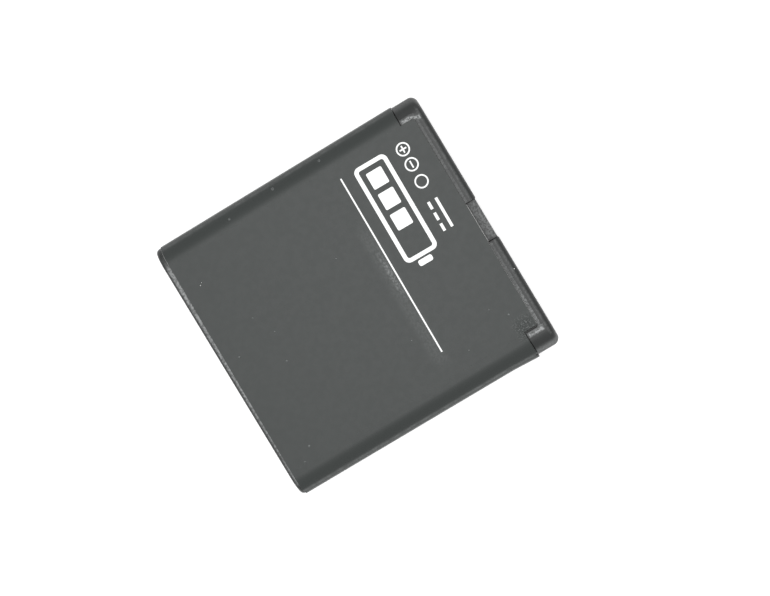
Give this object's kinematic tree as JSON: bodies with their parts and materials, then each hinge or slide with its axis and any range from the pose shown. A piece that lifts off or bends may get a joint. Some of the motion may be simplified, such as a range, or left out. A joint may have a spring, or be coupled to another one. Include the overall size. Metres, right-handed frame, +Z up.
{
  "type": "mobile phone battery",
  "caption": "Flat, nearly square rechargeable battery for a mobile phone: film-wrapped cell with rounded sides, moulded end caps and contacts recessed in one end.",
  "frame": {"origin": "middle of the base on which the battery lies, with its printed face up", "axes": "+X towards the contact end along the length, +Y across the width towards the positive contact, +Z up out of the printed face"},
  "size_m": [0.0436, 0.0414, 0.0048],
  "materials": {
    "label_film": "matt printed polyester film, dark grey",
    "cap_plastic": "fine-textured moulded plastic, dark grey, scuffed on its edges",
    "adhesive_tape": "white double-sided tape",
    "cell_aluminium": "drawn, satin",
    "gasket_plastic": "natural white, moulded",
    "nickel": "bright nickel, lightly brushed",
    "plug_steel": "bright pressed metal",
    "fibre_sheet": "pressed fibre sheet, grey green",
    "amber_tape": "clear amber film tape",
    "fuse_plastic": "black sealed body",
    "board_laminate": "green solder mask over glass fibre laminate",
    "gold_plating": "gold plated, smooth",
    "chip_epoxy": "moulded black epoxy",
    "resistor_glaze": "glazed black with tinned ends",
    "capacitor_ceramic": "fired ceramic, tan, with tinned ends"
  },
  "bodies": {
    "root": {"label_wrap": "label_film", "contact_cap": "cap_plastic", "end_cap": "cap_plastic", "end_tape": "adhesive_tape", "cell": "cell_aluminium", "terminal_gasket": "gasket_plastic", "negative_terminal": "nickel", "fill_plug": "plug_steel", "lid_insulator": "fibre_sheet", "positive_plate": "nickel", "positive_strip": "nickel", "fuse_tape": "amber_tape", "thermal_fuse": "fuse_plastic", "fuse_inner_lead": "nickel", "fuse_outer_lead": "nickel", "circuit_board": "board_laminate", "board_tab_plus": "nickel", "board_tab_minus": "nickel", "contact_plus": "gold_plating", "contact_minus": "gold_plating", "contact_sense": "gold_plating", "protection_chip": "chip_epoxy", "switch_chip": "chip_epoxy", "resistor_1": "resistor_glaze", "resistor_2": "resistor_glaze", "resistor_3": "resistor_glaze", "capacitor_1": "capacitor_ceramic", "capacitor_2": "capacitor_ceramic"}
  },
  "joints": []
}
